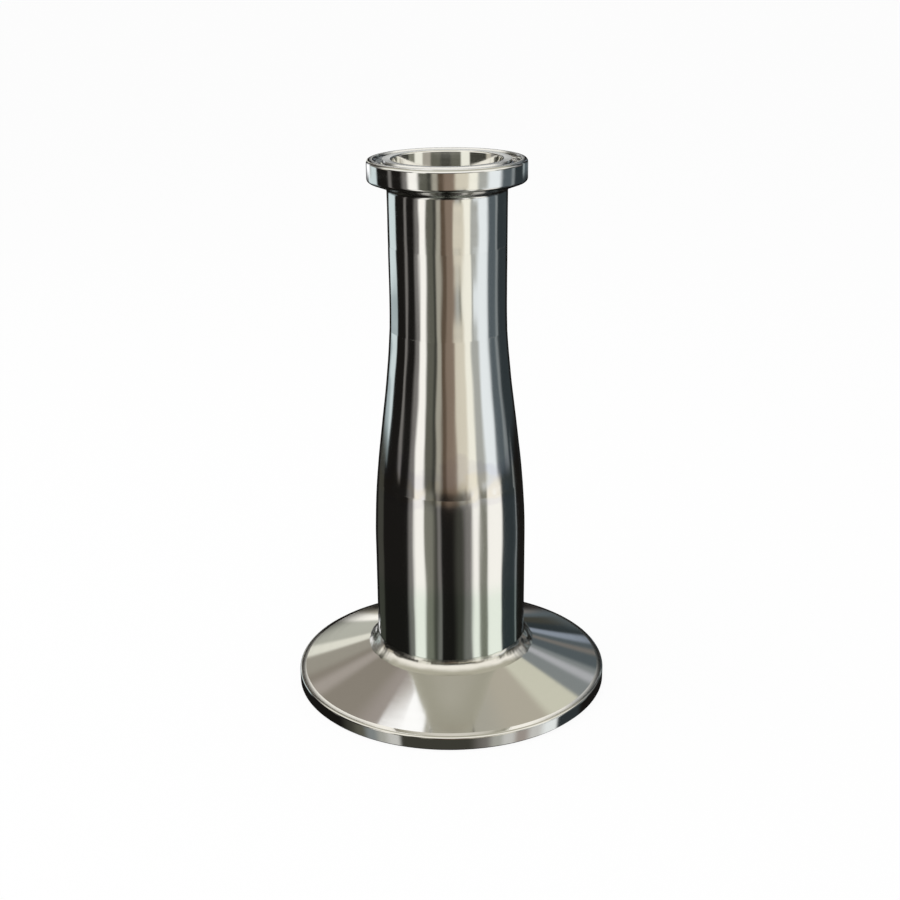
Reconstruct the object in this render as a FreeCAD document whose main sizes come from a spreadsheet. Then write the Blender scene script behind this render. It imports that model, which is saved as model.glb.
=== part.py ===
import FreeCAD, Part
import os
import Sketcher

# Sanitary clamp reducer, millimetres, +Z up along the flow axis.
# The origin is the centre of the large clamp face, which the part stands on.
# From the bottom up: a wide clamp flange, a 2 inch tube let into it and fillet welded,
# a formed reducer, a short 1.5 inch neck tube, and a small clamp ferrule.

driving_sizes = [
    ("wall_thickness", 1.65, "wall of the tubes, the reducer and the small ferrule's neck"),
    ("neck_diameter", 38.1, "outside of the 1.5 inch end"),
    ("tube_diameter", 50.8, "outside of the 2 inch end"),
    ("back_angle", 20, "slope of both flanges' backs, which the clamps pull on, in degrees"),
    ("seat_height", 5, "metal left under the lower tube's end"),
    ("tube_straight_length", 46.2, "lower tube, straight stretch from its seat"),
    ("tube_drawn_length", 22.8, "lower tube, stretch drawn in towards the reducer"),
    ("reducer_lower_bend", 9.2, "reducer, height of its share of the lower bend"),
    ("cone_length", 20.8, "reducer, height of the straight cone"),
    ("reducer_upper_bend", 21, "reducer, height of its share of the upper bend"),
    ("neck_flare_length", 11, "neck tube, stretch opened out towards the reducer"),
    ("neck_straight_length", 16.5, "neck tube, straight stretch"),
    ("small_ferrule_length", 26.8, "small ferrule, weld edge to clamp face"),
    ("small_flange_diameter", 50.5, "small ferrule, over the rim"),
    ("small_rim_height", 6.7, "small ferrule, clamp face to the rim's back edge"),
    ("small_edge_radius", 1.1, "small ferrule, rounding of the rim's two edges"),
    ("small_root_radius", 1.5, "small ferrule, hollow between the sloped back and the neck"),
    ("mouth_radius", 0.5, "small ferrule, rounding of the bore's mouth"),
    ("small_groove_diameter", 43.5, "gasket groove of the small face, middle to middle"),
    ("base_flange_diameter", 106, "base ferrule, over the rim"),
    ("base_rim_height", 4.9, "base ferrule, clamp face to where the land meets the rim's wall"),
    ("base_land_width", 2.1, "base ferrule, narrow land turned round the top of the rim"),
    ("base_land_rise", 0.28, "base ferrule, how far that land rises inwards"),
    ("base_edge_radius", 0.9, "base ferrule, rounding of the rim's upper edge"),
    ("base_edge_chamfer", 0.6, "base ferrule, chamfer at the clamp face"),
    ("base_groove_diameter", 97, "gasket groove of the large face, middle to middle"),
    ("groove_radius", 1.6, "section radius of both gasket grooves"),
    ("groove_depth", 1.3, "depth of both gasket grooves"),
    ("socket_clearance", 0.1, "gap round the lower tube in its socket"),
    ("weld_leg_out", 3, "fillet weld, reach over the flange"),
    ("weld_leg_up", 3.2, "fillet weld, reach up the tube"),
    ("weld_face_radius", 6, "fillet weld, radius of its hollow face"),
]

doc = FreeCAD.newDocument("clamp_reducer")
sheet = doc.addObject("Spreadsheet::Sheet", "sizes")
for row, (alias, size, note) in enumerate(driving_sizes, 1):
    sheet.set(f"A{row}", alias)
    sheet.set(f"B{row}", str(size))
    sheet.set(f"C{row}", note)
    sheet.setAlias(f"B{row}", alias)
doc.recompute()

# Radii and heights that several pieces share, written as expressions on the sheet.
neck_out = "sizes.neck_diameter / 2"
neck_in = f"{neck_out} - sizes.wall_thickness"
tube_out = "sizes.tube_diameter / 2"
tube_in = f"{tube_out} - sizes.wall_thickness"

tube_seat = "sizes.seat_height"
lower_bend_start = f"{tube_seat} + sizes.tube_straight_length"
lower_seam = f"{lower_bend_start} + sizes.tube_drawn_length"
cone_bottom = f"{lower_seam} + sizes.reducer_lower_bend"
cone_top = f"{cone_bottom} + sizes.cone_length"
upper_seam = f"{cone_top} + sizes.reducer_upper_bend"
upper_bend_end = f"{upper_seam} + sizes.neck_flare_length"
ferrule_seam = f"{upper_bend_end} + sizes.neck_straight_length"
small_face = f"{ferrule_seam} + sizes.small_ferrule_length"


def value(expression):
    return float(sheet.evalExpression(expression))


def bindPoint(sketch, geometry, end, across, up):
    # Holds one end of a sketch element at (across, up), both expressions.
    for kind, expression in (("DistanceX", across), ("DistanceY", up)):
        if expression == "0":
            sketch.addConstraint(Sketcher.Constraint("PointOnObject", geometry, end, -1))
            continue
        rule = Sketcher.Constraint(kind, -1, 1, geometry, end, value(expression))
        sketch.setExpression(f"Constraints[{sketch.addConstraint(rule)}]", expression)


def bindHeight(sketch, geometry, end, up):
    rule = Sketcher.Constraint("DistanceY", -1, 1, geometry, end, value(up))
    sketch.setExpression(f"Constraints[{sketch.addConstraint(rule)}]", up)


def bindRadius(sketch, geometry, radius):
    rule = Sketcher.Constraint("Radius", geometry, value(radius))
    sketch.setExpression(f"Constraints[{sketch.addConstraint(rule)}]", radius)


def joinEnds(sketch, first, first_end, second, second_end, kind="Coincident"):
    sketch.addConstraint(Sketcher.Constraint(kind, first, first_end, second, second_end))


def addLine(sketch, start, end):
    return sketch.addGeometry(Part.LineSegment(start, end), False)


def addArc(sketch, centre, start, end):
    # The arc runs counter-clockwise about its centre, from start to end.
    circle = Part.Circle(centre, FreeCAD.Vector(0, 0, 1), centre.distanceToPoint(start))
    arc = Part.ArcOfCircle(circle, circle.parameter(start), circle.parameter(end))
    return sketch.addGeometry(arc, False)


def addBody(name):
    body = doc.addObject("PartDesign::Body", name)
    body.Label = name
    return body


def addSketch(body, name):
    # The sketch lies in the body's own XZ plane: across is the radius, up is the height.
    sketch = body.newObject("Sketcher::SketchObject", name)
    plane = [feature for feature in body.Origin.OriginFeatures if feature.Role == "XZ_Plane"][0]
    sketch.AttachmentSupport = [(plane, "")]
    sketch.MapMode = "FlatFace"
    return sketch


def addOutline(sketch, corners):
    # A closed outline of straight edges, each corner a pair of expressions.
    points = [FreeCAD.Vector(value(across), value(up), 0) for across, up in corners]
    edges = [addLine(sketch, *pair) for pair in zip(points, points[1:] + points[:1])]
    for edge, following in zip(edges, edges[1:] + edges[:1]):
        joinEnds(sketch, edge, 2, following, 1)
    for edge, (across, up) in zip(edges, corners):
        bindPoint(sketch, edge, 1, across, up)


def turn(body, sketch):
    doc.recompute()
    turned = body.newObject("PartDesign::Revolution", f"{body.Name}_turned")
    turned.Profile = sketch
    turned.ReferenceAxis = (sketch, ["V_Axis"])
    turned.Angle = 360
    doc.recompute()
    return turned


def cutGasketGroove(body, diameter, up):
    # A round-bottomed channel: a circle whose centre stands proud of the clamp face.
    before = body.Shape.Volume
    sketch = addSketch(body, f"{body.Name}_groove_section")
    centre = FreeCAD.Vector(value(diameter) / 2, value(up), 0)
    across = FreeCAD.Vector(0, 0, 1)
    circle = sketch.addGeometry(Part.Circle(centre, across, value("sizes.groove_radius")), False)
    bindPoint(sketch, circle, 3, f"{diameter} / 2", up)
    bindRadius(sketch, circle, "sizes.groove_radius")
    doc.recompute()
    groove = body.newObject("PartDesign::Groove", f"{body.Name}_gasket_groove")
    groove.Profile = sketch
    groove.ReferenceAxis = (sketch, ["V_Axis"])
    groove.Angle = 360
    doc.recompute()
    if groove.Shape.Volume >= before:
        raise RuntimeError(f"{groove.Name} cut nothing")


def roundEdges(kind, body, name, size_property, size, places):
    # Rounds or chamfers the circular edges that lie at the given (radius, height) places.
    base = body.Tip
    names = []
    for number, edge in enumerate(base.Shape.Edges, 1):
        if not isinstance(edge.Curve, Part.Circle):
            continue
        for radius, up in places:
            near = abs(edge.Curve.Radius - value(radius)) < 1e-4
            if near and abs(edge.Curve.Center.z - value(up)) < 1e-4:
                names.append(f"Edge{number}")
    if len(names) != len(places):
        raise RuntimeError(f"{name}: {len(names)} of {len(places)} edges found")
    feature = body.newObject(kind, f"{body.Name}_{name}")
    feature.Base = (base, names)
    feature.setExpression(size_property, size)
    doc.recompute()
    return feature


def makeFormLine():
    # Layout of the reducing stretch's outside: the neck's wall bends outwards, runs down a
    # straight cone, and bends back to the tube's wall. The bends' radii follow from the heights.
    line = doc.addObject("Sketcher::SketchObject", "form_line")
    line.Placement = FreeCAD.Placement(FreeCAD.Vector(), FreeCAD.Rotation(FreeCAD.Vector(1, 0, 0), 90))
    neck, tube = value(neck_out), value(tube_out)
    heights = [value(up) for up in (upper_bend_end, cone_top, cone_bottom, lower_bend_start)]
    upper_bend, cone, lower_bend = [a - b for a, b in zip(heights, heights[1:])]
    slope = (tube - neck) / (upper_bend / 2 + cone + lower_bend / 2)
    top_x = neck + slope * upper_bend / 2
    low_x = tube - slope * lower_bend / 2
    top_centre = FreeCAD.Vector(neck + upper_bend / slope, heights[0], 0)
    low_centre = FreeCAD.Vector(tube - lower_bend / slope, heights[3], 0)
    top = addArc(line, top_centre, FreeCAD.Vector(neck, heights[0], 0), FreeCAD.Vector(top_x, heights[1], 0))
    flank = addLine(line, FreeCAD.Vector(top_x, heights[1], 0), FreeCAD.Vector(low_x, heights[2], 0))
    low = addArc(line, low_centre, FreeCAD.Vector(tube, heights[3], 0), FreeCAD.Vector(low_x, heights[2], 0))
    joinEnds(line, top, 2, flank, 1, "Tangent")
    joinEnds(line, flank, 2, low, 2, "Tangent")
    bindPoint(line, top, 1, neck_out, upper_bend_end)
    bindPoint(line, low, 1, tube_out, lower_bend_start)
    bindHeight(line, flank, 1, cone_top)
    bindHeight(line, flank, 2, cone_bottom)
    line.addConstraint(Sketcher.Constraint("Horizontal", top, 1, top, 3))
    line.addConstraint(Sketcher.Constraint("Horizontal", low, 1, low, 3))
    for name, arc in (("upper_radius", top), ("lower_radius", low)):
        rule = line.addConstraint(Sketcher.Constraint("Radius", arc, 1))
        line.setDriving(rule, False)
        line.renameConstraint(rule, name)
    doc.recompute()
    return line


def heightOnBend(bend, inset, up):
    # The point of a bend's arc at a given height, as the sketch's starting guess.
    centre = FreeCAD.Vector(value(f"{bend['wall']} {bend['sign']} {bend['radius']}"), value(bend["height"]), 0)
    radius = value(f"{bend['radius']} {bend['sign']} {inset}")
    drop = value(up) - centre.y
    return FreeCAD.Vector(centre.x + bend["side"] * (radius ** 2 - drop ** 2) ** 0.5, value(up), 0)


def addBend(sketch, bend, inset, start, end):
    # One wall line of a bend, inset from the outside: start is nearer the straight tube.
    centre = (f"{bend['wall']} {bend['sign']} {bend['radius']}", bend["height"])
    middle = FreeCAD.Vector(value(centre[0]), value(centre[1]), 0)
    arc = addArc(sketch, middle, heightOnBend(bend, inset, start), heightOnBend(bend, inset, end))
    bindPoint(sketch, arc, 3, *centre)
    bindRadius(sketch, arc, f"{bend['radius']} {bend['sign']} {inset}")
    return arc


def closeWall(sketch, outer, outer_end, inner, inner_end):
    # The flat weld edge or cut end between the outer and the inner line of a wall.
    ends = [sketch.getPoint(outer, outer_end), sketch.getPoint(inner, inner_end)]
    cap = addLine(sketch, *ends)
    joinEnds(sketch, cap, 1, outer, outer_end)
    joinEnds(sketch, cap, 2, inner, inner_end)


def makeBentTube(name, bend, open_end, seam):
    # A straight tube whose last stretch follows a bend of the form line, up to a weld seam.
    body = addBody(name)
    sketch = addSketch(body, f"{name}_section")
    walls = []
    for inset in ("0", "sizes.wall_thickness"):
        start = heightOnBend(bend, inset, bend["height"])
        straight = addLine(sketch, FreeCAD.Vector(start.x, value(open_end), 0), start)
        arc = addBend(sketch, bend, inset, bend["height"], seam)
        joinEnds(sketch, straight, 2, arc, 1, "Tangent")
        sketch.addConstraint(Sketcher.Constraint("Vertical", straight))
        bindHeight(sketch, straight, 1, open_end)
        bindHeight(sketch, arc, 2, seam)
        walls.append((straight, arc))
    (outer_straight, outer_arc), (inner_straight, inner_arc) = walls
    closeWall(sketch, outer_straight, 1, inner_straight, 1)
    closeWall(sketch, outer_arc, 2, inner_arc, 2)
    turn(body, sketch)
    return body


def makeReducer():
    body = addBody("reducer")
    sketch = addSketch(body, "reducer_section")
    walls = []
    for inset in ("0", "sizes.wall_thickness"):
        top = addBend(sketch, upper_bend, inset, upper_seam, cone_top)
        low = addBend(sketch, lower_bend, inset, lower_seam, cone_bottom)
        flank = addLine(sketch, sketch.getPoint(top, 2), sketch.getPoint(low, 2))
        joinEnds(sketch, top, 2, flank, 1, "Tangent")
        joinEnds(sketch, flank, 2, low, 2, "Tangent")
        bindHeight(sketch, top, 1, upper_seam)
        bindHeight(sketch, low, 1, lower_seam)
        walls.append((top, low))
    closeWall(sketch, walls[0][0], 1, walls[1][0], 1)
    closeWall(sketch, walls[0][1], 1, walls[1][1], 1)
    turn(body, sketch)
    return body


def makeSmallFerrule():
    # Turned in one: clamp flange with its sloped back, and a short neck to weld to.
    body = addBody("small_ferrule")
    sketch = addSketch(body, "small_ferrule_section")
    rim = "sizes.small_flange_diameter / 2"
    rim_back = f"{small_face} - sizes.small_rim_height"
    root = f"{rim_back} - ({rim} - {neck_out}) * tan(sizes.back_angle)"
    addOutline(sketch, [
        (neck_in, ferrule_seam),
        (neck_out, ferrule_seam),
        (neck_out, root),
        (rim, rim_back),
        (rim, small_face),
        (neck_in, small_face),
    ])
    turn(body, sketch)
    roundEdges("PartDesign::Fillet", body, "root_hollow", "Radius", "sizes.small_root_radius", [(neck_out, root)])
    rim_edges = [(rim, rim_back), (rim, small_face)]
    roundEdges("PartDesign::Fillet", body, "rim_rounding", "Radius", "sizes.small_edge_radius", rim_edges)
    mouth = [(neck_in, small_face)]
    roundEdges("PartDesign::Fillet", body, "mouth_rounding", "Radius", "sizes.mouth_radius", mouth)
    groove_up = f"{small_face} + sizes.groove_radius - sizes.groove_depth"
    cutGasketGroove(body, "sizes.small_groove_diameter", groove_up)
    return body


def makeBaseFerrule():
    # Turned in one: a thick sloped flange with a socket for the lower tube.
    body = addBody("base_ferrule")
    sketch = addSketch(body, "base_ferrule_section")
    rim = "sizes.base_flange_diameter / 2"
    land_top = "sizes.base_rim_height + sizes.base_land_rise"
    addOutline(sketch, [
        (tube_in, "0"),
        (rim, "0"),
        (rim, "sizes.base_rim_height"),
        (f"{rim} - sizes.base_land_width", land_top),
        (socket, hub_top),
        (socket, tube_seat),
        (tube_in, tube_seat),
    ])
    turn(body, sketch)
    upper_edge = [(rim, "sizes.base_rim_height")]
    roundEdges("PartDesign::Fillet", body, "rim_rounding", "Radius", "sizes.base_edge_radius", upper_edge)
    lower_edge = [(rim, "0")]
    roundEdges("PartDesign::Chamfer", body, "edge_chamfer", "Size", "sizes.base_edge_chamfer", lower_edge)
    cutGasketGroove(body, "sizes.base_groove_diameter", "sizes.groove_depth - sizes.groove_radius")
    return body


def makeBaseWeld():
    # The fillet weld in the corner between the lower tube and the flange, with a hollow face.
    body = addBody("base_fillet_weld")
    sketch = addSketch(body, "base_fillet_weld_section")
    toe = (f"{socket} + sizes.weld_leg_out", f"{hub_top} - sizes.weld_leg_out * tan(sizes.back_angle)")
    corners = [toe, (socket, hub_top), (tube_out, hub_top), (tube_out, f"{hub_top} + sizes.weld_leg_up")]
    points = [FreeCAD.Vector(value(across), value(up), 0) for across, up in corners]
    edges = [addLine(sketch, *pair) for pair in zip(points, points[1:])]
    for edge, following in zip(edges, edges[1:]):
        joinEnds(sketch, edge, 2, following, 1)
    for edge, (across, up) in zip(edges, corners):
        bindPoint(sketch, edge, 1, across, up)
    bindPoint(sketch, edges[-1], 2, *corners[-1])
    middle = (points[0] + points[-1]) / 2
    half = points[-1] - middle
    radius = value("sizes.weld_face_radius")
    outwards = FreeCAD.Vector(half.y, -half.x, 0).normalize()
    centre = middle + outwards * (radius ** 2 - half.Length ** 2) ** 0.5
    face = addArc(sketch, centre, points[-1], points[0])
    joinEnds(sketch, face, 1, edges[-1], 2)
    joinEnds(sketch, face, 2, edges[0], 1)
    bindRadius(sketch, face, "sizes.weld_face_radius")
    turn(body, sketch)
    return body


# The two bends of the form line: the straight wall that each leaves, where, and on which side
# of its centre the wall lies. sign is how that side enters the sums.
upper_bend = {
    "wall": neck_out,
    "height": upper_bend_end,
    "side": -1,
    "sign": "+",
    "radius": "form_line.Constraints.upper_radius / 1mm",
}
lower_bend = {
    "wall": tube_out,
    "height": lower_bend_start,
    "side": 1,
    "sign": "-",
    "radius": "form_line.Constraints.lower_radius / 1mm",
}
socket = f"{tube_out} + sizes.socket_clearance"
hub_rise = f"(sizes.base_flange_diameter / 2 - sizes.base_land_width - ({socket})) * tan(sizes.back_angle)"
hub_top = f"sizes.base_rim_height + sizes.base_land_rise + {hub_rise}"

makeFormLine()
pieces = [
    makeBaseFerrule(),
    makeBentTube("lower_tube", lower_bend, tube_seat, lower_seam),
    makeBaseWeld(),
    makeReducer(),
    makeBentTube("neck_tube", upper_bend, ferrule_seam, upper_seam),
    makeSmallFerrule(),
]
doc.recompute()

for thing in doc.Objects:
    if "Invalid" in thing.State or "Error" in thing.State:
        raise RuntimeError(f"{thing.Name} failed: {thing.State}")
    if thing.TypeId == "Sketcher::SketchObject" and not thing.FullyConstrained:
        raise RuntimeError(f"{thing.Name} is not fully constrained")
for body in pieces:
    if body.Shape.isNull() or not body.Shape.isValid() or len(body.Shape.Solids) != 1:
        raise RuntimeError(f"{body.Label} is not one valid solid")

os.makedirs("parts", exist_ok=True)
for body in pieces:
    body.Shape.exportStep(f"parts/{body.Label}.step")
    box = body.Shape.optimalBoundingBox(False)
    print(f"{body.Label}: {body.Shape.Volume:.0f} mm3, z {box.ZMin:.2f} to {box.ZMax:.2f}")
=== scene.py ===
import math

import bmesh
import bpy
from mathutils import Matrix, Vector, noise


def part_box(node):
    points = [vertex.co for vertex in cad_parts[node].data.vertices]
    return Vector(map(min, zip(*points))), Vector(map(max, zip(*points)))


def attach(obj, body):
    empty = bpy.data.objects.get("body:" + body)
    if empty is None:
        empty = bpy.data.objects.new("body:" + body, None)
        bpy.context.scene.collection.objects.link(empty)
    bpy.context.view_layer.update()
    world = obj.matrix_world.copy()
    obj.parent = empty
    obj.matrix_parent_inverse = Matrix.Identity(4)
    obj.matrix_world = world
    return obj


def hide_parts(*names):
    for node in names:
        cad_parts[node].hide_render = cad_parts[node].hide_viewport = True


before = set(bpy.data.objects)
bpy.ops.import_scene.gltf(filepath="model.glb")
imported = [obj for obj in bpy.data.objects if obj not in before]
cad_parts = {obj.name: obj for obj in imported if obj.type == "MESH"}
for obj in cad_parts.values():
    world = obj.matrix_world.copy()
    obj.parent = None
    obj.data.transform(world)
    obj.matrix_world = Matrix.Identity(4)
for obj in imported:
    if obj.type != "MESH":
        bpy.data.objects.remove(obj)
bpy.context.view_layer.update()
print("frame loaded:", sorted(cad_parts))

# Heights that the pieces share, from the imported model.
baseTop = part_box("base_ferrule")[1].z
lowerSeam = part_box("lower_tube")[1].z
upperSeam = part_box("reducer")[1].z
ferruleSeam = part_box("neck_tube")[1].z
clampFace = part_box("small_ferrule")[1].z


def smoothStep(low, high, value):
    share = min(1, max(0, (value - low) / (high - low)))
    return share * share * (3 - 2 * share)


# The wall that the three formed pieces share: straight neck, bend, cone, bend, straight tube.
wallLine = {
    "neckRadius": 0.01905,
    "tubeRadius": 0.0254,
    "thickness": 0.00165,
    "bendHeight": 0.032,
    "coneHeight": 0.0208,
    "bendAboveUpperSeam": 0.011,
}
upperBendEnd = upperSeam + wallLine["bendAboveUpperSeam"]
coneTop = upperBendEnd - wallLine["bendHeight"]
coneBottom = coneTop - wallLine["coneHeight"]
lowerBendStart = coneBottom - wallLine["bendHeight"]


def coneSlopeAndBend(line):
    # Half the cone's angle, as a tangent, from the radius that two bends and the cone gain.
    gain = (line["tubeRadius"] - line["neckRadius"]) / 2
    half = gain / (line["bendHeight"] + line["coneHeight"])
    for _ in range(6):
        half = gain / (line["bendHeight"] + line["coneHeight"] / (1 - half * half))
    angle = 2 * math.atan(half)
    return math.tan(angle), line["bendHeight"] / math.sin(angle)


coneSlope, bendRadius = coneSlopeAndBend(wallLine)


def bendDepth(along):
    return bendRadius - math.sqrt(bendRadius ** 2 - along ** 2)


def wallRadius(z):
    # Outside radius of the formed wall at a height.
    if z >= upperBendEnd:
        return wallLine["neckRadius"]
    if z > coneTop:
        return wallLine["neckRadius"] + bendDepth(upperBendEnd - z)
    if z > coneBottom:
        atTop = wallLine["neckRadius"] + bendDepth(wallLine["bendHeight"])
        return atTop + (coneTop - z) * coneSlope
    if z > lowerBendStart:
        return wallLine["tubeRadius"] - bendDepth(z - lowerBendStart)
    return wallLine["tubeRadius"]


# Mesh makers.

def roundedOutline(corners, steps=7):
    # Corners are (radius, height, rounding); a rounding above zero turns the corner into an arc.
    outline = []
    for index, (r, z, rounding) in enumerate(corners):
        here = Vector((r, z))
        if rounding == 0:
            outline.append((r, z))
            continue
        before = (Vector(corners[index - 1][:2]) - here).normalized()
        after = (Vector(corners[(index + 1) % len(corners)][:2]) - here).normalized()
        half = before.angle(after) / 2
        centre = here + (before + after).normalized() * rounding / math.sin(half)
        first = here + before * rounding / math.tan(half) - centre
        last = here + after * rounding / math.tan(half) - centre
        turn = first.angle_signed(last)
        for step in range(steps + 1):
            spoke = first.copy()
            spoke.rotate(Matrix.Rotation(-turn * step / steps, 2))
            outline.append(tuple(centre + spoke))
    return outline


def closeRound(name, vertices, slices, sharpAngle):
    # Joins the sections that follow each other about Z into a solid. Each has as many vertices as the next.
    count = len(vertices) // slices
    faces = []
    for index in range(slices):
        here, following = index * count, (index + 1) % slices * count
        for row in range(count):
            above = (row + 1) % count
            faces.append((here + row, following + row, following + above, here + above))
    mesh = bpy.data.meshes.new(name)
    mesh.from_pydata(vertices, [], faces)
    solid = bmesh.new()
    solid.from_mesh(mesh)
    bmesh.ops.recalc_face_normals(solid, faces=solid.faces)
    solid.to_mesh(mesh)
    solid.free()
    mesh.shade_smooth()
    mesh.set_sharp_from_angle(angle=math.radians(sharpAngle))
    piece = bpy.data.objects.new(name, mesh)
    bpy.context.scene.collection.objects.link(piece)
    return piece


def lathe(name, outline, slices, push=None, sharpAngle=32):
    # Turns a closed outline of (radius, height) about Z. push(angle, radius, height) is added to the radius.
    vertices = []
    for index in range(slices):
        angle = 2 * math.pi * index / slices
        for r, z in outline:
            reach = r + (push(angle, r, z) if push else 0)
            vertices.append((reach * math.cos(angle), reach * math.sin(angle), z))
    return closeRound(name, vertices, slices, sharpAngle)


def dress(piece, node, material):
    # The piece takes the node's place, on the one body.
    piece.data.materials.append(material)
    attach(piece, "root")
    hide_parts(node)


# Effects that several finishes share.

def newGroup(name, inputs, outputs):
    group = bpy.data.node_groups.new(name, "ShaderNodeTree")
    for label, socketType, default in inputs:
        socket = group.interface.new_socket(name=label, in_out="INPUT", socket_type=socketType)
        if default is not None:
            socket.default_value = default
    for label, socketType in outputs:
        group.interface.new_socket(name=label, in_out="OUTPUT", socket_type=socketType)
    entry = group.nodes.new("NodeGroupInput")
    leave = group.nodes.new("NodeGroupOutput")
    return group, entry, leave


def mathNode(tree, operation, first, second=None):
    node = tree.nodes.new("ShaderNodeMath")
    node.operation = operation
    for socket, value in zip(node.inputs, (first, second)):
        if value is None:
            continue
        if isinstance(value, bpy.types.NodeSocket):
            tree.links.new(value, socket)
        else:
            socket.default_value = value
    return node.outputs[0]


def makeStreaks():
    # Fine lines left by polishing along the tube, and slow changes of haze between them.
    inputs = [("Across", "NodeSocketFloat", 900), ("Along", "NodeSocketFloat", 0.03)]
    outputs = [("Height", "NodeSocketFloat"), ("Haze", "NodeSocketFloat")]
    hazeShare = 0.12  # scale of the haze, against that of the lines
    group, entry, leave = newGroup("polishing streaks", inputs, outputs)
    place = group.nodes.new("ShaderNodeTexCoord")
    stretch = group.nodes.new("ShaderNodeVectorMath")
    stretch.operation = "MULTIPLY"
    factors = group.nodes.new("ShaderNodeCombineXYZ")
    group.links.new(entry.outputs["Along"], factors.inputs[2])
    factors.inputs[0].default_value = 1
    factors.inputs[1].default_value = 1
    group.links.new(place.outputs["Object"], stretch.inputs[0])
    group.links.new(factors.outputs[0], stretch.inputs[1])
    fine = group.nodes.new("ShaderNodeTexNoise")
    fine.inputs["Detail"].default_value = 3
    group.links.new(stretch.outputs[0], fine.inputs["Vector"])
    group.links.new(entry.outputs["Across"], fine.inputs["Scale"])
    group.links.new(fine.outputs["Fac"], leave.inputs["Height"])
    slow = group.nodes.new("ShaderNodeTexNoise")
    slow.inputs["Detail"].default_value = 2
    group.links.new(stretch.outputs[0], slow.inputs["Vector"])
    group.links.new(mathNode(group, "MULTIPLY", entry.outputs["Across"], hazeShare), slow.inputs["Scale"])
    group.links.new(slow.outputs["Fac"], leave.inputs["Haze"])
    return group


def makeTurning():
    # Lathe marks: fine rings about the axis, their depth changing from ring to ring.
    outputs = [("Height", "NodeSocketFloat"), ("Bands", "NodeSocketFloat")]
    bandShare = 0.15  # scale of the bands, against that of the rings
    group, entry, leave = newGroup("lathe marks", [("Rings", "NodeSocketFloat", 3000)], outputs)
    place = group.nodes.new("ShaderNodeTexCoord")
    split = group.nodes.new("ShaderNodeSeparateXYZ")
    group.links.new(place.outputs["Object"], split.inputs[0])
    squares = [mathNode(group, "POWER", split.outputs[side], 2) for side in (0, 1)]
    radius = mathNode(group, "SQRT", mathNode(group, "ADD", *squares))
    along = mathNode(group, "SUBTRACT", radius, split.outputs[2])
    for label, share in (("Height", 1), ("Bands", bandShare)):
        rings = group.nodes.new("ShaderNodeTexNoise")
        rings.noise_dimensions = "1D"
        rings.inputs["Detail"].default_value = 2
        group.links.new(mathNode(group, "MULTIPLY", entry.outputs["Rings"], share), rings.inputs["Scale"])
        group.links.new(along, rings.inputs["W"])
        group.links.new(rings.outputs["Fac"], leave.inputs[label])
    return group


def mixColours(tree, share, first, second):
    node = tree.nodes.new("ShaderNodeMix")
    node.data_type = "RGBA"
    for socket, value in zip((node.inputs[0], node.inputs[6], node.inputs[7]), (share, first, second)):
        if isinstance(value, bpy.types.NodeSocket):
            tree.links.new(value, socket)
        else:
            socket.default_value = value
    return node.outputs[2]


# Straw beside a welded seam and violet a little further out: (middle, width, colour), with the first two in
# shares of the tint's reach.
heatColours = [
    (0.7, 0.45, (0.5, 0.47, 0.56, 1)),
    (0.15, 0.4, (0.62, 0.52, 0.38, 1)),
]


def makeHeatTint():
    patchScale, patchStrength = 110, 2.5  # how the tint breaks up into patches
    inputs = [
        ("Steel", "NodeSocketColor", None),
        ("Seam", "NodeSocketFloat", 0),
        ("Reach", "NodeSocketFloat", 0.01),
        ("Amount", "NodeSocketFloat", 0.6),
    ]
    group, entry, leave = newGroup("heat tint", inputs, [("Color", "NodeSocketColor")])
    place = group.nodes.new("ShaderNodeTexCoord")
    split = group.nodes.new("ShaderNodeSeparateXYZ")
    group.links.new(place.outputs["Object"], split.inputs[0])
    patches = group.nodes.new("ShaderNodeTexNoise")
    patches.inputs["Scale"].default_value = patchScale
    patches.inputs["Detail"].default_value = 2
    group.links.new(place.outputs["Object"], patches.inputs["Vector"])
    away = mathNode(group, "ABSOLUTE", mathNode(group, "SUBTRACT", split.outputs[2], entry.outputs["Seam"]))
    away = mathNode(group, "DIVIDE", away, entry.outputs["Reach"])
    uneven = mathNode(group, "SUBTRACT", 0.5, patches.outputs["Fac"])
    uneven = mathNode(group, "MULTIPLY", uneven, patchStrength)
    away = mathNode(group, "ADD", away, uneven)
    colour = entry.outputs["Steel"]
    for middle, width, tint in heatColours:
        offset = mathNode(group, "DIVIDE", mathNode(group, "SUBTRACT", away, middle), width)
        near = mathNode(group, "SUBTRACT", 1, mathNode(group, "MULTIPLY", offset, offset))
        share = mathNode(group, "MULTIPLY", mathNode(group, "MAXIMUM", near, 0), entry.outputs["Amount"])
        colour = mixColours(group, share, colour, tint)
    group.links.new(colour, leave.inputs["Color"])
    return group


streaksGroup = makeStreaks()
turningGroup = makeTurning()
heatTintGroup = makeHeatTint()


def newFinish(name, colour, roughness, anisotropy=0, turn=0):
    material = bpy.data.materials.new(name)
    material.use_nodes = True
    tree = material.node_tree
    shader = tree.nodes["Principled BSDF"]
    shader.inputs["Base Color"].default_value = (*colour, 1)
    shader.inputs["Metallic"].default_value = 1
    shader.inputs["Roughness"].default_value = roughness
    shader.inputs["Anisotropic"].default_value = anisotropy
    shader.inputs["Anisotropic Rotation"].default_value = turn
    if anisotropy:
        tangent = tree.nodes.new("ShaderNodeTangent")
        tangent.direction_type = "RADIAL"
        tangent.axis = "Z"
        tree.links.new(tangent.outputs[0], shader.inputs["Tangent"])
    return material, tree, shader


def addGroup(tree, group, **values):
    node = tree.nodes.new("ShaderNodeGroup")
    node.node_tree = group
    for label, value in values.items():
        node.inputs[label].default_value = value
    return node


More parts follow.
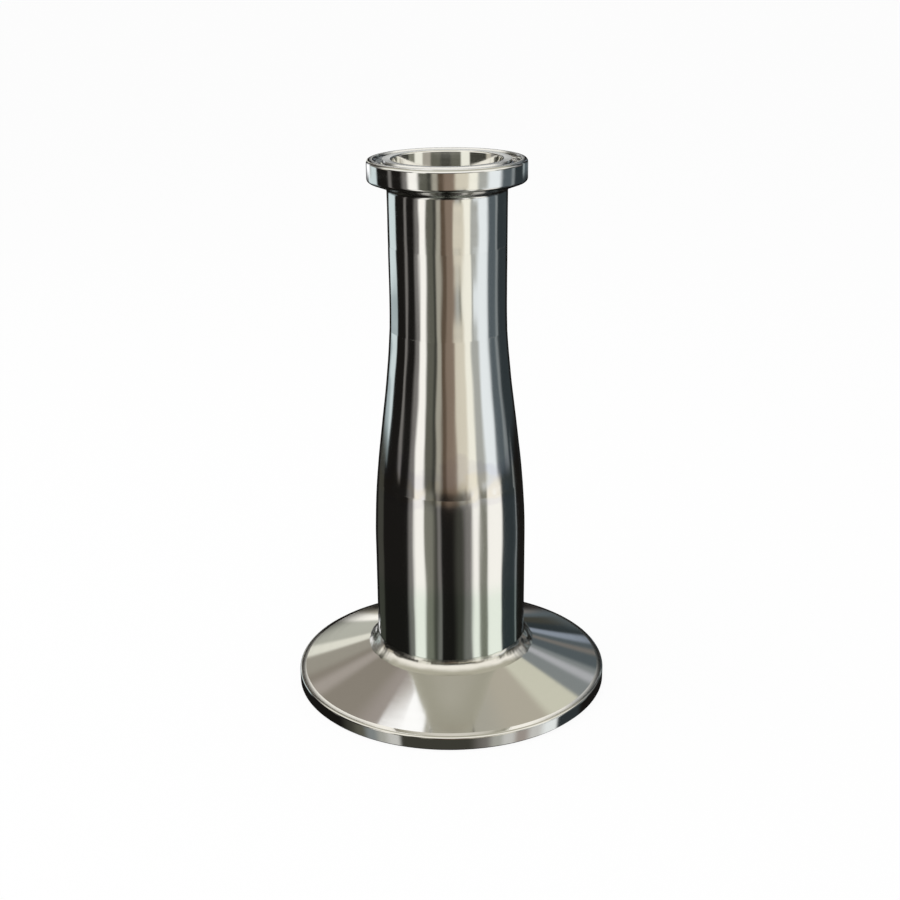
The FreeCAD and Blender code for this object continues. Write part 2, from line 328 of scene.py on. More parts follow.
def addBump(tree, shader, height, distance):
    bump = tree.nodes.new("ShaderNodeBump")
    bump.inputs["Distance"].default_value = distance
    tree.links.new(height, bump.inputs["Height"])
    tree.links.new(bump.outputs[0], shader.inputs["Normal"])


def spread(tree, value, low, high, target):
    # Spreads a noise from low to high. Most of a noise lies between 0.3 and 0.7.
    node = tree.nodes.new("ShaderNodeMapRange")
    for label, end in (("From Min", 0.3), ("From Max", 0.7), ("To Min", low), ("To Max", high)):
        node.inputs[label].default_value = end
    tree.links.new(value, node.inputs["Value"])
    tree.links.new(node.outputs[0], target)


def makeTubeFinish(name, look):
    material, tree, shader = newFinish(name, look["colour"], look["roughness"][0])
    streaks = addGroup(tree, streaksGroup, Across=look["streaksAcross"], Along=look["streaksAlong"])
    spread(tree, streaks.outputs["Haze"], *look["roughness"], shader.inputs["Roughness"])
    addBump(tree, shader, streaks.outputs["Height"], look["streakDepth"])
    tint = addGroup(tree, heatTintGroup, Seam=lowerSeam, Reach=look["heatReach"], Amount=look["heat"])
    tint.inputs["Steel"].default_value = (*look["colour"], 1)
    tree.links.new(tint.outputs[0], shader.inputs["Base Color"])
    return material


def makeTurnedFinish(name, look):
    material, tree, shader = newFinish(
        name, look["colour"], look["roughness"][0], look["anisotropy"], look["turn"]
    )
    marks = addGroup(tree, turningGroup, Rings=look["rings"])
    spread(tree, marks.outputs["Bands"], *look["roughness"], shader.inputs["Roughness"])
    addBump(tree, shader, marks.outputs["Height"], look["markDepth"])
    return material


# Waves that hand polishing leaves in the walls, and the uneven dip along each ground seam. The walls also
# lean a little: each height has how far they stand inside the drawn line there.
polishWaves = {
    "lean": [(lowerSeam, 0), (upperSeam - 0.014, 0), (upperSeam, 0.00014), (ferruleSeam, 0)],
    "depth": 0.00008,
    "across": 60,
    "along": 110,
    "fineDepth": 0.00007,
    "fineAcross": 340,
    "fineAlong": 35,
    "seamDip": 0.00002,
    "seamReach": 0.0016,
    "seamAcross": 260,
    "seamUneven": 0.9,
}


def leanAt(z):
    for (low, first), (high, second) in zip(polishWaves["lean"], polishWaves["lean"][1:]):
        if low <= z <= high:
            return first + (second - first) * (z - low) / (high - low)
    return 0


def wavePush(seed, seams):
    def push(angle, r, z):
        if r < wallRadius(z) - wallLine["thickness"] / 2:
            return 0
        around = Vector((r * math.cos(angle), r * math.sin(angle), 0))
        place = around * polishWaves["across"] + Vector((seed, 0, z * polishWaves["along"]))
        inward = leanAt(z) + polishWaves["depth"] * (0.5 + 0.5 * noise.noise(place))
        place = around * polishWaves["fineAcross"] + Vector((0, seed, z * polishWaves["fineAlong"]))
        inward += polishWaves["fineDepth"] * (0.5 + 0.5 * noise.noise(place))
        for seam in seams:
            near = math.exp(-((z - seam) / polishWaves["seamReach"]) ** 2)
            if near > 0.01:
                ownPart = Vector((0, seam * 1000, seed))  # of the noise, for each seam
                uneven = noise.noise(around * polishWaves["seamAcross"] + ownPart)
                inward += polishWaves["seamDip"] * near * (1 + polishWaves["seamUneven"] * uneven)
        return -inward
    return push


def wallOutline(low, high, rows):
    heights = [low + (high - low) * index / rows for index in range(rows + 1)]
    outside = [(wallRadius(z), z) for z in heights]
    inside = [(wallRadius(z) - wallLine["thickness"], z) for z in reversed(heights)]
    return outside + inside


# The polished neck and reducer.
polishedTube = {
    "slices": 360,
    "rowHeight": 0.001,
    "colour": (0.76, 0.755, 0.74),
    "roughness": (0.07, 0.13),
    "streaksAcross": 700,
    "streaksAlong": 0.03,
    "streakDepth": 0.0000025,
    "heatReach": 0.011,
    "heat": 0.3,
}
polishedTubeSteel = makeTubeFinish("polished tube steel", polishedTube)

for nodeName, seed, low, high in (
    ("neck_tube", 3, upperSeam, ferruleSeam),
    ("reducer", 7, lowerSeam, upperSeam),
):
    rows = round((high - low) / polishedTube["rowHeight"])
    push = wavePush(seed, (low, high))
    piece = lathe(nodeName + "_polished", wallOutline(low, high, rows), polishedTube["slices"], push)
    dress(piece, nodeName, polishedTubeSteel)
print("neck and reducer made")

# The lower tube, ground finer along its length than it is polished.
satinTube = {
    "slices": 360,
    "rowHeight": 0.001,
    "colour": (0.75, 0.745, 0.73),
    "roughness": (0.08, 0.14),
    "streaksAcross": 900,
    "streaksAlong": 0.02,
    "streakDepth": 0.000004,
    "heatReach": 0.004,
    "heat": 0.2,
}
satinTubeSteel = makeTubeFinish("satin tube steel", satinTube)
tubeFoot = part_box("lower_tube")[0].z
tubeOutline = wallOutline(tubeFoot, lowerSeam, round((lowerSeam - tubeFoot) / satinTube["rowHeight"]))
lowerTube = lathe("lower_tube_satin", tubeOutline, satinTube["slices"], wavePush(11, (lowerSeam,)))
dress(lowerTube, "lower_tube", satinTubeSteel)
print("lower tube made")

# The small ferrule: rim with a sloped back, rounded edges, gasket groove and neck.
smallFerrule = {
    "slices": 360,
    "rimRadius": 0.02525,
    "rimHeight": 0.0067,
    "edgeRounding": 0.0011,
    "rootRounding": 0.0015,
    "mouthRounding": 0.0005,
    "grooveMiddle": 0.02175,
    "grooveSection": 0.0016,
    "grooveDepth": 0.0013,
    "backSlope": math.tan(math.radians(20)),
    "neckRows": 14,
    "underRoot": 0.004,
    "wavesEnd": (0.007, 0.017),
    "colour": (0.77, 0.765, 0.75),
    "roughness": (0.07, 0.12),
    "anisotropy": 0.3,
    "turn": 0.25,
    "rings": 2500,
    "markDepth": 0.000001,
}


def grooveCorners(look, face, side):
    # A round-bottomed channel in a flat face, from the outer edge to the inner one.
    section, depth = look["grooveSection"], look["grooveDepth"]
    centre = face + side * (section - depth)
    reach = math.acos((section - depth) / section)
    corners, steps = [], 12
    for step in range(steps + 1):
        angle = reach - 2 * reach * step / steps
        across = look["grooveMiddle"] + section * math.sin(angle)
        corners.append((across, centre - side * section * math.cos(angle), 0))
    return corners


def smallFerruleOutline(look):
    neck, bore = wallLine["neckRadius"], wallLine["neckRadius"] - wallLine["thickness"]
    rimBack = clampFace - look["rimHeight"]
    root = rimBack - (look["rimRadius"] - neck) * look["backSlope"]
    rows, rise = look["neckRows"], root - look["underRoot"] - ferruleSeam
    corners = [(bore, ferruleSeam, 0)]
    corners += [(neck, ferruleSeam + rise * index / rows, 0) for index in range(rows + 1)]
    corners += [
        (neck, root, look["rootRounding"]),
        (look["rimRadius"], rimBack, look["edgeRounding"]),
        (look["rimRadius"], clampFace, look["edgeRounding"]),
    ]
    corners += grooveCorners(look, clampFace, 1)
    corners.append((bore, clampFace, look["mouthRounding"]))
    return roundedOutline(corners)


polishedFerruleSteel = makeTurnedFinish("polished ferrule steel", smallFerrule)

# The small ferrule's bore and face keep their turning marks.
ferruleBore = {
    "colour": (0.84, 0.83, 0.8),
    "roughness": (0.05, 0.08),
    "anisotropy": 0.2,
    "turn": 0.25,
    "rings": 2500,
    "markDepth": 0.000001,
    "flare": 0.11,
}
ferruleFace = {
    "colour": (0.76, 0.755, 0.74),
    "roughness": (0.13, 0.2),
    "anisotropy": 0.8,
    "turn": 0.25,
    "rings": 2200,
    "markDepth": 0.0000015,
}
# The sloped back keeps its lathe marks and is rougher; its darker colour is painted shade under the rim.
ferruleBackPaintedShade = {
    "colour": (0.27, 0.265, 0.25),
    "roughness": (0.16, 0.24),
    "anisotropy": 0.5,
    "turn": 0.25,
    "rings": 2200,
    "markDepth": 0.000001,
}
ferrulePush = wavePush(17, (ferruleSeam,))


def flareBore(tree, slope):
    # Shades the bore as if it opened a little towards the mouth.
    marks = next(node for node in tree.nodes if node.type == "BUMP")
    place = tree.nodes.new("ShaderNodeTexCoord")
    split = tree.nodes.new("ShaderNodeSeparateXYZ")
    tree.links.new(place.outputs["Object"], split.inputs[0])
    opening = tree.nodes.new("ShaderNodeBump")
    opening.inputs["Distance"].default_value = 1
    tree.links.new(mathNode(tree, "MULTIPLY", split.outputs[2], -slope), opening.inputs["Height"])
    tree.links.new(opening.outputs[0], marks.inputs["Normal"])


def neckOnly(angle, r, z):
    fade = 1 - smoothStep(*smallFerrule["wavesEnd"], z - ferruleSeam)
    return ferrulePush(angle, r, z) * fade if fade else 0


smallOutline = smallFerruleOutline(smallFerrule)
smallFerrulePiece = lathe("small_ferrule_polished", smallOutline, smallFerrule["slices"], neckOnly)
dress(smallFerrulePiece, "small_ferrule", polishedFerruleSteel)
for name, look in (("bore", ferruleBore), ("face", ferruleFace), ("back", ferruleBackPaintedShade)):
    smallFerrulePiece.data.materials.append(makeTurnedFinish("turned " + name + " steel", look))
flareBore(smallFerrulePiece.data.materials[1].node_tree, ferruleBore["flare"])

# How far past its drawn size a face still counts as bore, clamp face or sloped back.
faceLimits = {
    "pastBore": 0.0003,
    "underGroove": 0.0001,
    "aboveSeam": 0.01,
    "downwards": -0.3,
}


def markFerruleFaces(look, limits):
    neck = wallLine["neckRadius"]
    boreReach = neck - wallLine["thickness"] + limits["pastBore"]
    grooveFloor = clampFace - look["grooveDepth"] - limits["underGroove"]
    faceReach = look["rimRadius"] - look["edgeRounding"]
    backStart = ferruleSeam + limits["aboveSeam"]
    for face in smallFerrulePiece.data.polygons:
        across, height = Vector(face.center[:2]).length, face.center.z
        if across < boreReach:
            face.material_index = 1
        elif height > grooveFloor and across < faceReach:
            face.material_index = 2
        # Downward faces of the sloped back, which take the darkened colour painted as shade under the rim.
        elif face.normal.z < limits["downwards"] and across > neck and height > backStart:
            face.material_index = 3


markFerruleFaces(smallFerrule, faceLimits)
print("small ferrule made")

# The base ferrule: sloped back with lathe marks, a bright land round the rim, a socket for the tube.
baseFerrule = {
    "slices": 480,
    "roundingSteps": 14,
    "sharpAngle": 8,
    "rimRadius": 0.053,
    "rimHeight": 0.0049,
    "landWidth": 0.0021,
    "landRise": 0.00028,
    "edgeRounding": 0.0009,
    "landRounding": 0.0002,
    "footChamfer": 0.0006,
    "grooveMiddle": 0.0485,
    "grooveSection": 0.0016,
    "grooveDepth": 0.0013,
    "seatHeight": 0.005,
    "socketGap": 0.0001,
    "colour": (0.73, 0.715, 0.68),
    "roughness": (0.072, 0.085),
    "anisotropy": 0.75,
    "turn": 0.25,
    "rings": 2600,
    "markDepth": 0.0000004,
}


def baseFerruleOutline(look):
    bore = wallLine["tubeRadius"] - wallLine["thickness"]
    socket = wallLine["tubeRadius"] + look["socketGap"]
    rim, landTop = look["rimRadius"], look["rimHeight"] + look["landRise"]
    corners = [(bore, 0, 0)]
    corners += list(reversed(grooveCorners(look, 0, -1)))
    corners += [
        (rim - look["footChamfer"], 0, 0),
        (rim, look["footChamfer"], 0),
        (rim, look["rimHeight"], look["edgeRounding"]),
        (rim - look["landWidth"], landTop, look["landRounding"]),
        (socket, baseTop, 0),
        (socket, look["seatHeight"], 0),
        (bore, look["seatHeight"], 0),
    ]
    return roundedOutline(corners, look["roundingSteps"])


turnedSteel = makeTurnedFinish("turned steel", baseFerrule)
basePiece = lathe(
    "base_ferrule_turned",
    baseFerruleOutline(baseFerrule),
    baseFerrule["slices"],
    sharpAngle=baseFerrule["sharpAngle"],
)
dress(basePiece, "base_ferrule", turnedSteel)
print("base ferrule made")

# The fillet weld: a bead with lumps, and a ripple from each melt of the puddle. It is hollow in front and
# behind, and fuller at both sides.
filletWeld = {
    "slices": 900,
    "faceSteps": 14,
    "sharpAngle": 50,
    "legOut": 0.003,
    "legUp": 0.0032,
    "hollow": 0.00078,
    "lumpsAcross": 260,
    "lumpsUp": 1.6,
    "lumpDepth": 0.00012,
    "lumpsAside": 0.0003,
    "fullAside": 0.9,
    "ripplePitch": 0.0016,
    "rippleDepth": 0.000008,
    "rippleLag": 2.4,
    "edgeWander": 0.0003,
    "wandersAround": 9,
    "colour": (0.71, 0.69, 0.645),
    "roughness": (0.14, 0.26),
    "anisotropy": 0,
    "turn": 0,
    "rings": 4000,
    "markDepth": 0.000001,
}


def makeWeldBead(look):
    tube, socket = wallLine["tubeRadius"], wallLine["tubeRadius"] + baseFerrule["socketGap"]
    slope = smallFerrule["backSlope"]
    ripples = round(2 * math.pi * (socket + look["legOut"] / 2) / look["ripplePitch"])
    vertices = []
    for index in range(look["slices"]):
        angle = 2 * math.pi * index / look["slices"]
        around = Vector((math.cos(angle), math.sin(angle), 0))
        depth = look["lumpDepth"] + look["lumpsAside"] * around.x ** 4
        hollow = look["hollow"] * (1 - look["fullAside"] * around.x ** 4)
        wander = around * look["wandersAround"]  # read at two places, so that the two edges differ
        out = look["legOut"] + look["edgeWander"] * noise.noise(wander + Vector((5, 0, 0)))
        up = look["legUp"] + look["edgeWander"] * noise.noise(wander + Vector((0, 0, 8)))
        section = [(tube, baseTop), (socket, baseTop)]
        toe = Vector((socket + out, baseTop - out * slope))
        head = Vector((tube, baseTop + up))
        inwards = Vector((toe.y - head.y, head.x - toe.x)).normalized()
        for step in range(look["faceSteps"] + 1):
            share = step / look["faceSteps"]
            bow = 4 * share * (1 - share)
            place = around * tube * look["lumpsAcross"] + Vector((0, 0, share * look["lumpsUp"]))
            lump = depth * noise.noise(place)
            ripple = look["rippleDepth"] * math.sin(ripples * angle + look["rippleLag"] * bow)
            point = toe.lerp(head, share) + inwards * bow * (hollow - lump - ripple)
            section.append(tuple(point))
        vertices += [(r * around.x, r * around.y, z) for r, z in section]
    return closeRound("base_fillet_weld_bead", vertices, look["slices"], look["sharpAngle"])


weldSteel = makeTurnedFinish("weld steel", filletWeld)
dress(makeWeldBead(filletWeld), "base_fillet_weld", weldSteel)
print("fillet weld made")

# The studio. Azimuths are in degrees from the camera's side of the part, positive to the right.
studio = {
    "floorSize": 16,
    "floorColour": (0.93, 0.93, 0.93),
    "floorGlow": 0.92,
    "floorRoughness": 0.9,
    "worldStrength": 0.75,
    "lampPlace": (-0.25, -0.1, 0.9),
    "lampAim": (0, 0, 0.05),
    "lampSize": 0.7,
    "lampPower": 3,
}


def seenDirectly(tree):
    # 1 for what the camera sees, straight or in metal or glass.
    path = tree.nodes.new("ShaderNodeLightPath")
    seen = mathNode(tree, "MAXIMUM", path.outputs["Is Camera Ray"], path.outputs["Is Glossy Ray"])
    return mathNode(tree, "MAXIMUM", seen, path.outputs["Is Transmission Ray"])


def makeFloor():
    mesh = bpy.data.meshes.new("floor")
    half = studio["floorSize"] / 2
    corners = [(-half, -half, 0), (half, -half, 0), (half, half, 0), (-half, half, 0)]
    mesh.from_pydata(corners, [], [(0, 1, 2, 3)])
    floor = bpy.data.objects.new("floor", mesh)
    bpy.context.scene.collection.objects.link(floor)
    material = bpy.data.materials.new("floor")
    material.use_nodes = True
    tree = material.node_tree
    shader = tree.nodes["Principled BSDF"]
    shader.inputs["Base Color"].default_value = (*studio["floorColour"], 1)
    shader.inputs["Roughness"].default_value = studio["floorRoughness"]
    shader.inputs["Specular IOR Level"].default_value = 0
    glow = tree.nodes.new("ShaderNodeEmission")
    glow.inputs["Color"].default_value = (1, 1, 1, 1)
    mix = tree.nodes.new("ShaderNodeMixShader")
    tree.links.new(mathNode(tree, "MULTIPLY", seenDirectly(tree), studio["floorGlow"]), mix.inputs[0])
    tree.links.new(shader.outputs[0], mix.inputs[1])
    tree.links.new(glow.outputs[0], mix.inputs[2])
    tree.links.new(mix.outputs[0], tree.nodes["Material Output"].inputs["Surface"])
    mesh.materials.append(material)
    floor.visible_glossy = False  # the cloths hang down past it, and the metal shows them instead


def makeWorld():
    world = bpy.data.worlds.new("studio")
    bpy.context.scene.world = world
    world.use_nodes = True
    tree = world.node_tree
    light = tree.nodes["Background"]
    light.inputs["Strength"].default_value = studio["worldStrength"]
    light.inputs["Color"].default_value = (1, 1, 1, 1)
    white = tree.nodes.new("ShaderNodeBackground")
    white.inputs["Color"].default_value = (1, 1, 1, 1)
    mix = tree.nodes.new("ShaderNodeMixShader")
    tree.links.new(seenDirectly(tree), mix.inputs[0])
    tree.links.new(light.outputs[0], mix.inputs[1])
    tree.links.new(white.outputs[0], mix.inputs[2])
    tree.links.new(mix.outputs[0], tree.nodes["World Output"].inputs["Surface"])


def makeLamp():
    data = bpy.data.lights.new("overhead", "AREA")
    data.shape = "DISK"
    data.size = studio["lampSize"]
    data.energy = studio["lampPower"]
    lamp = bpy.data.objects.new("overhead", data)
    lamp.location = studio["lampPlace"]
    aim = Vector(studio["lampAim"]) - lamp.location
    lamp.rotation_euler = aim.to_track_quat("-Z", "Y").to_euler()
    lamp.visible_glossy = False
    bpy.context.scene.collection.objects.link(lamp)


# Cloths that hang far out round the part and show only in its reflections.
cloths = {
    "black": (0.012, 0.011, 0.01),
    "ink": (0.035, 0.045, 0.05),
    "soot": (0.06, 0.06, 0.05),
    "slate": (0.11, 0.135, 0.15),
    "olive": (0.13, 0.13, 0.105),
    "brown": (0.125, 0.09, 0.062),
    "umber": (0.28, 0.215, 0.165),
    "smoke": (0.22, 0.21, 0.2),
    "coldSmoke": (0.28, 0.31, 0.32),
    "steelBlue": (0.31, 0.36, 0.44),
    "stone": (0.23, 0.23, 0.19),
    "grey": (0.48, 0.49, 0.46),
    "mauve": (0.42, 0.38, 0.355),
    "lilac": (0.48, 0.44, 0.405),
    "taupe": (0.33, 0.3, 0.26),
    "khaki": (0.41, 0.39, 0.34),
    "linen": (0.57, 0.58, 0.52),
    "flax": (0.55, 0.54, 0.45),
    "sand": (0.45, 0.43, 0.36),
    "oat": (0.5, 0.49, 0.43),
    "cream": (0.82, 0.765, 0.63),
    "ivory": (0.96, 0.96, 0.87),
    "butter": (0.76, 0.76, 0.64),
    "dimCream": (0.55, 0.52, 0.44),
    "dimBlue": (0.42, 0.5, 0.52),
    "pearl": (0.53, 0.55, 0.59),
    "silver": (0.7, 0.71, 0.7),
    "paleBlue": (0.75, 0.86, 0.88),
    "warmWhite": (1.12, 1.1, 0.97),
    "coldWhite": (1, 1.06, 1.09),
    "white": (1.2, 1.18, 1.12),
    "bright": (1.36, 1.38, 1.42),
}

# A strip starts at its azimuth, as softly as its last number says, and reaches to the next one.
leftStrips = [
    (-118, "black", 5),
    (-91, "smoke", 4),
    (-85, "black", 4),
    (-66, "smoke", 8),
    (-57, "white", 6),
    (-41.5, "olive", 6),
    (-28, "soot", 5),
    (-21.5, "sand", 5),
    (-13.5, "brown", 4),
    (-5, "umber", 6),
]
rightStrips = [
    (82, "slate", 10),
    (103, "coldSmoke", 5),
    (110, "ink", 6),
    (150, "black", 8),
]
# The strips at three heights, from high to low.
tallStrips = [
    (-180, "black", 1),
    (-148, "paleBlue", 6),
    *leftStrips,
    (10.5, "cream", 6),
    (30, "warmWhite", 5),
    (43.5, "grey", 6),
    (59, "coldWhite", 9),
    *rightStrips,
]
middleStrips = [
    (-180, "black", 1),
    (-148, "dimBlue", 6),
    *leftStrips,
    (14, "grey", 8),
    (22, "stone", 5),
    (27, "warmWhite", 4),
    (45, "grey", 4),
    (50, "coldWhite", 5),
    *rightStrips,
]
lowStrips = [
    (-180, "black", 1),
    (-150, "soot", 5),
    (-126, "black", 6),
    (-67, "smoke", 8),
    (-57, "white", 5),
    (-39, "stone", 5),
    (-25, "soot", 8),
    (-20, "smoke", 4),
    (-14.5, "black", 4),
    (8, "soot", 12),
    (20, "smoke", 10),
    (34, "white", 5),
    (46, "stone", 5),
    (59, "white", 5),
    (86.5, "ink", 6),
    (119, "coldSmoke", 3),
    (123, "black", 4),
]
# What the base's rim mirrors, lower still.
rimStrips = [
    (-180, "black", 1),
    (-86, "soot", 12),
    (-76, "olive", 10),
    (-66, "coldSmoke", 8),
    (-56, "grey", 8),
    (-48, "silver", 8),
    (-38, "soot", 4),
    (18, "smoke", 14),
    (28, "grey", 8),
    (37, "silver", 6),
    (47, "mauve", 6),
    (58, "silver", 8),
    (70, "coldWhite", 10),
    (84, "ink", 4),
    (110, "black", 8),
]
# Behind and above, by the side of the base's sloped back that mirrors them. A fourth number shifts a
# strip's start for each degree that the mirroring surface is steeper.
fanStrips = [
    (-180, "smoke", 1),
    (-130, "dimCream", 6),
    (-122, "white", 5),
    (-114.5, "linen", 4),
    (-97.5, "ivory", 3),
    (-90.5, "khaki", 3),
    (-79, "taupe", 6),
    (-73, "lilac", 6),
    (-65, "taupe", 6),
    (-42, "mauve", 12),
    (-30, "lilac", 6),
    (-23.2, "bright", 1.5, -9),
    (-12.5, "oat", 1.5),
    (22, "dimCream", 16),
    (44, "butter", 6),
    (61.5, "coldSmoke", 3),
    (72, "pearl", 4),
    (77.5, "coldSmoke", 4),
    (81.5, "slate", 4),
    (90, "smoke", 3),
    (93.5, "slate", 3),
    (97.5, "steelBlue", 3),
    (102.5, "ink", 3),
    (110, "soot", 5),
    (117.5, "slate", 4),
    (122, "smoke", 5),
]
# On the flat land round the rim.
landStrips = [
    (-180, "silver", 1),
    (-145, "black", 6),
    (-104, "white", 4),
    (62, "silver", 10),
    (84, "coldSmoke", 12),
    (120, "black", 4),
    (145, "silver", 6),
]
# Between the land and the sloped back, where only the rounded outer edge looks.
besideStrips = [
    (-180, "black", 1),
    (-42, "white", 14),
    (46, "black", 14),
]
# Where the mirroring surface is an edge, steeper than the sloped back.
edgeStrips = [
    (-180, "smoke", 1),
    (-165, "black", 6),
    (-55, "flax", 20),
    (55, "black", 20),
    (105, "slate", 8),
    (145, "black", 8),
]
# Steeper again, mostly for the weld.
steepStrips = [
    (-180, "smoke", 1),
    (-125, "stone", 8),
    (-114, "bright", 8),
    (-80, "stone", 8),
    (-58, "white", 16),
    (52, "silver", 10),
    (64, "slate", 8),
    (74, "paleBlue", 4),
    (80, "slate", 4),
    (98, "paleBlue", 4),
    (106, "soot", 6),
    (145, "black", 8),
]
# In front and a little above the part's own height, for the bore.
boreStrips = [
    (-180, "smoke", 1),
    (-105, "dimCream", 8),
    (-91, "soot", 8),
    (-49, "ivory", 5),
    (-29.5, "olive", 5),
    (-8, "soot", 8),
    (14, "olive", 8),
    (35, "khaki", 6),
    (53, "ivory", 5),
    (72, "stone", 6),
    (88, "soot", 6),
    (110, "smoke", 8),
    (130, "black", 8),
]
# The dome that the strips are on. Azimuths, elevations and the tilts of what mirrors it are in degrees.
clothDome = {
    "radius": 3,
    "middleHeight": 0.08,
    "columns": [(-180, 0.4), (-140, 0.8), (140, 0.4), (180, 0)],
    "rows": [(-90, 3), (-40, 0.5), (40, 0.7), (90, 0)],
    "rimBelow": (-44, -40),
    "rimAbove": (-24.5, -22.5),
    "middleAbove": (-21, -16),
    "tallAbove": (-12.6, -11.9),
    "lookDown": 28.5,
    "coneTilt": (21, 21, 22.4),
    "boreAbove": (0, 3),
    "frontCrown": (12, 19),
    "backCrown": (-8.5, -5.5),
    "backFrom": (130, 145),
    "gapWidth": (172.6, 174.2),
    "gapTop": (2, 6),
    "landTilt": 8.9,
    "landTiltAside": 5,
    "landEnd": (0.9, 2),
    "backStart": (7.5, 9),
    "edgeStart": (14.6, 16.2),
    "steepTilt": (37, 57),
    "steepAside": 4,
}
# What the lower tube mirrors. Each strip runs out from the wall the way the wall mirrors it to the front.
clothSkirt = {
    "height": 0.006,
    "nearSteps": (0.0025, 0.006, 0.01, 0.015, 0.021, 0.028, 0.036, 0.05),
    "overBase": 0.0008,
    "shadeEnd": (0.068, 0.08),
    "shade": (0.85, 0.93, 0.88),
    "lowEnd": 0.3,
    "farthest": 0.38,
    "reach": 150,
    "turnStep": 0.5,
}


def stripColour(strips, azimuth, steeper=0):
    colour = Vector(cloths[strips[0][1]])
    for start, cloth, softness, *lean in strips[1:]:
        start += sum(lean) * steeper
        if azimuth <= start - softness / 2:
            break
        share = smoothStep(start - softness / 2, start + softness / 2, azimuth)
        colour = colour.lerp(Vector(cloths[cloth]), share) if share < 1 else Vector(cloths[cloth])
    return colour


def crownShare(azimuth, elevation, look):
    # How far a direction belongs to the cloths above. They reach lower behind the part, but not straight
    # behind it.
    behind = smoothStep(*look["backFrom"], abs(azimuth))
    gap = smoothStep(*look["gapWidth"], abs(azimuth))
    front = smoothStep(*look["frontCrown"], elevation)
    back = smoothStep(*look["backCrown"], elevation)
    share = front + (back - front) * behind
    return share + (smoothStep(*look["gapTop"], elevation) - share) * gap


def crownColour(direction, look):
    # By the slope of the surface that mirrors it: the flat land, the sloped back, the edges.
    down = math.radians(look["lookDown"])
    half = (direction + Vector((0, -math.cos(down), math.sin(down)))).normalized()
    tilt = math.degrees(math.acos(half.z))
    side = math.degrees(math.atan2(half.x, -half.y))
    usual, least, most = look["coneTilt"]
    fan = stripColour(fanStrips, side, min(most, max(least, tilt)) - usual)
    aside = abs(math.sin(math.radians(side))) ** 3
    beyond = tilt - look["landTilt"] - look["landTiltAside"] * aside
    colour = stripColour(landStrips, side)
    colour = colour.lerp(stripColour(besideStrips, side), smoothStep(*look["landEnd"], beyond))
    colour = colour.lerp(fan, smoothStep(*look["backStart"], beyond))
    if beyond > look["edgeStart"][0]:
        colour = colour.lerp(stripColour(edgeStrips, side), smoothStep(*look["edgeStart"], beyond))
        steep = smoothStep(*look["steepTilt"], tilt + look["steepAside"] * aside)
        colour = colour.lerp(stripColour(steepStrips, side), steep)
    return colour


def spaced(stops):
    # Values from the first stop up to the last, each stretch with its own step.
    values = []
    for (low, step), (high, _) in zip(stops, stops[1:]):
        count = round((high - low) / step)
        values += [low + (high - low) * index / count for index in range(count)]
    return values


def showOnlyInReflections(name, mesh, colours):
    mesh.color_attributes.new("cloth", "FLOAT_COLOR", "POINT").data.foreach_set("color", colours)
    material = bpy.data.materials.new(name)
    material.use_nodes = True
    tree = material.node_tree
    tree.nodes.remove(tree.nodes["Principled BSDF"])
    cloth = tree.nodes.new("ShaderNodeAttribute")
    cloth.attribute_name = "cloth"
    glow = tree.nodes.new("ShaderNodeEmission")
    tree.links.new(cloth.outputs["Color"], glow.inputs["Color"])
    tree.links.new(glow.outputs[0], tree.nodes["Material Output"].inputs["Surface"])
    mesh.materials.append(material)
    hung = bpy.data.objects.new(name, mesh)
    hung.visible_camera = False
    hung.visible_diffuse = False
    hung.visible_transmission = False
    hung.visible_shadow = False
    bpy.context.scene.collection.objects.link(hung)
    return hung


def makeClothDome(look):
    vertices, faces, colours = [], [], []
    turns = spaced(look["columns"])
    heights = spaced(look["rows"]) + [90]
    bands = (rimStrips, middleStrips, tallStrips, boreStrips)
    levels = [[stripColour(strips, turn) for strips in bands] for turn in turns]
    starts = ("rimBelow", "rimAbove", "middleAbove", "tallAbove", "boreAbove")
    # Below rimBelow the dome is black: painted shade, which the foot's chamfer mirrors in place of the
    # shadowed floor beside the part.
    dark = Vector(cloths["black"])
    for elevation in heights:
        rise = math.radians(elevation)
        flat, up = math.cos(rise), math.sin(rise)
        lit, above, middle, tall, top = (smoothStep(*look[key], elevation) for key in starts)
        for turn, (rim, between, high, bore) in zip(turns, levels):
            side = math.radians(turn)
            direction = Vector((flat * math.sin(side), -flat * math.cos(side), up))
            upper = between.lerp(high, tall).lerp(bore, top)
            colour = dark.lerp(rim, lit).lerp(dark, above).lerp(upper, middle)
            share = crownShare(turn, elevation, look)
            if share > 0:
                colour = colour.lerp(crownColour(direction, look), share)
            vertices.append(direction * look["radius"])
            colours.extend((*colour, 1))
    columns = len(turns)
    for row in range(len(heights) - 1):
        here, above = row * columns, (row + 1) * columns
        for column in range(columns):
            beside = (column + 1) % columns
            faces.append((here + column, here + beside, above + beside, above + column))
    mesh = bpy.data.meshes.new("cloth_dome")
    mesh.from_pydata(vertices, [], faces)
    showOnlyInReflections("cloth_dome", mesh, colours).location.z = look["middleHeight"]


def hideUnderside(tree):
    # The base's sloped back looks up through the cloth.
    output = tree.nodes["Material Output"].inputs["Surface"]
    shown = output.links[0].from_socket
    side = tree.nodes.new("ShaderNodeNewGeometry")
    clear = tree.nodes.new("ShaderNodeBsdfTransparent")
    mix = tree.nodes.new("ShaderNodeMixShader")
    tree.links.new(side.outputs["Backfacing"], mix.inputs[0])
    tree.links.new(shown, mix.inputs[1])
    tree.links.new(clear.outputs[0], mix.inputs[2])
    tree.links.new(mix.outputs[0], output)


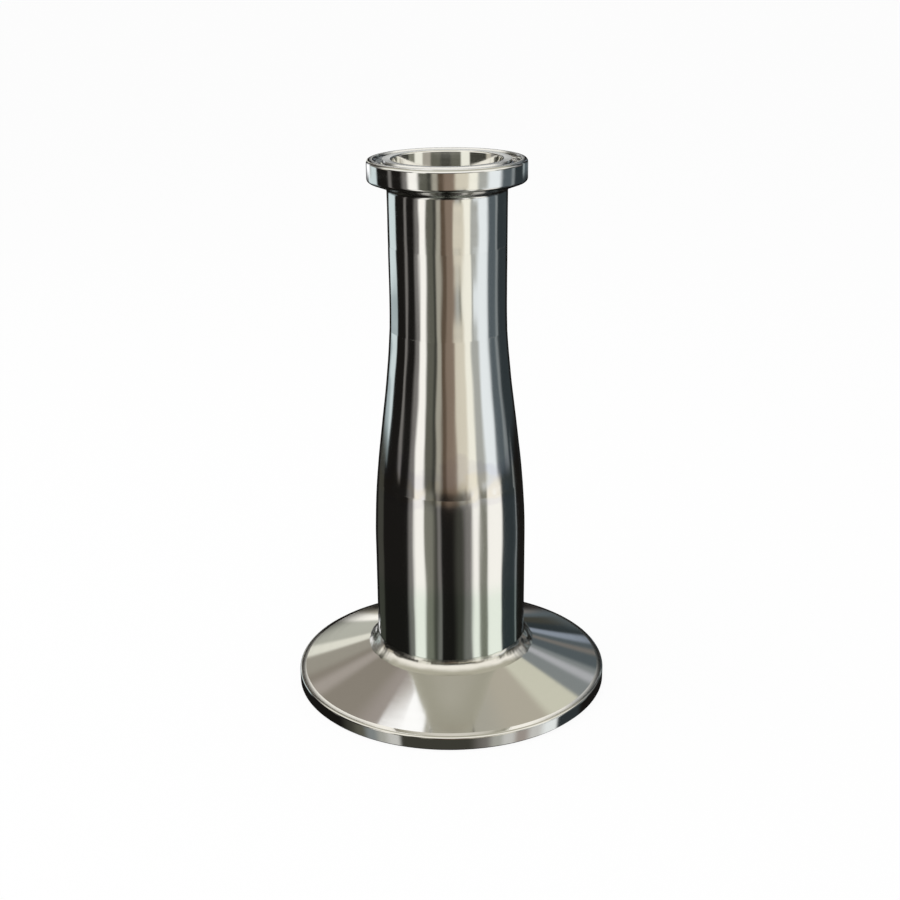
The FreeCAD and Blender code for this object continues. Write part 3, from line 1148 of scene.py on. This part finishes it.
def makeClothSkirt(look):
    vertices, faces, colours = [], [], []
    middle = (look["lowEnd"] + look["farthest"]) / 2
    steps = [*look["nearSteps"], *look["shadeEnd"], look["lowEnd"], middle, look["farthest"]]
    turns = spaced([(-look["reach"], look["turnStep"]), (look["reach"], 0)]) + [look["reach"]]
    for turn in turns:
        side = math.radians(turn)
        wall = Vector((math.sin(side / 2), -math.cos(side / 2), 0)) * wallLine["tubeRadius"]
        away = Vector((math.sin(side), -math.cos(side), 0))
        low, far = stripColour(lowStrips, turn), stripColour(middleStrips, turn)
        shaded = low * Vector(look["shade"])
        for step in steps:
            near = shaded.lerp(low, smoothStep(*look["shadeEnd"], step))
            place = wall + away * step
            drop = (place.length - wallLine["tubeRadius"]) * smallFerrule["backSlope"]
            height = max(look["height"], baseTop - drop + look["overBase"])
            vertices.append(place + Vector((0, 0, height)))
            colours.extend((*near.lerp(far, smoothStep(look["lowEnd"], look["farthest"], step)), 1))
    count = len(steps)
    for index in range(len(turns) - 1):
        here = index * count
        for row in range(count - 1):
            faces.append((here + row + 1, here + count + row + 1, here + count + row, here + row))
    mesh = bpy.data.meshes.new("cloth_skirt")
    mesh.from_pydata(vertices, [], faces)
    showOnlyInReflections("cloth_skirt", mesh, colours)
    hideUnderside(mesh.materials[0].node_tree)


makeFloor()
makeWorld()
makeLamp()
makeClothDome(clothDome)
makeClothSkirt(clothSkirt)
print("studio made")

# The camera, from the photograph's ellipses: it looks down at the part from straight ahead.
cameraPlace = {
    "lens": 56.4,
    "distance": 0.4708,
    "aimHeight": 0.0828,
    "downTilt": 19.75,
    "roll": 0.5,
    "pan": -0.02,
}


def makeCamera(place):
    data = bpy.data.cameras.new("camera")
    data.lens = place["lens"]
    data.sensor_width = 36
    data.clip_start = 0.01
    data.clip_end = 50
    data.dof.use_dof = False
    camera = bpy.data.objects.new("camera", data)
    tilt = math.radians(place["downTilt"])
    back = Vector((0, -math.cos(tilt), math.sin(tilt))) * place["distance"]
    turnAcross = Matrix.Rotation(math.radians(place["pan"]), 4, "Z")
    lookDown = Matrix.Rotation(math.pi / 2 - tilt, 4, "X")
    lean = Matrix.Rotation(-math.radians(place["roll"]), 4, "Z")
    stand = Matrix.Translation(back + Vector((0, 0, place["aimHeight"])))
    camera.matrix_world = stand @ turnAcross @ lookDown @ lean
    bpy.context.scene.collection.objects.link(camera)
    bpy.context.scene.camera = camera


makeCamera(cameraPlace)
bpy.context.scene.view_settings.view_transform = "Standard"
print("camera set")
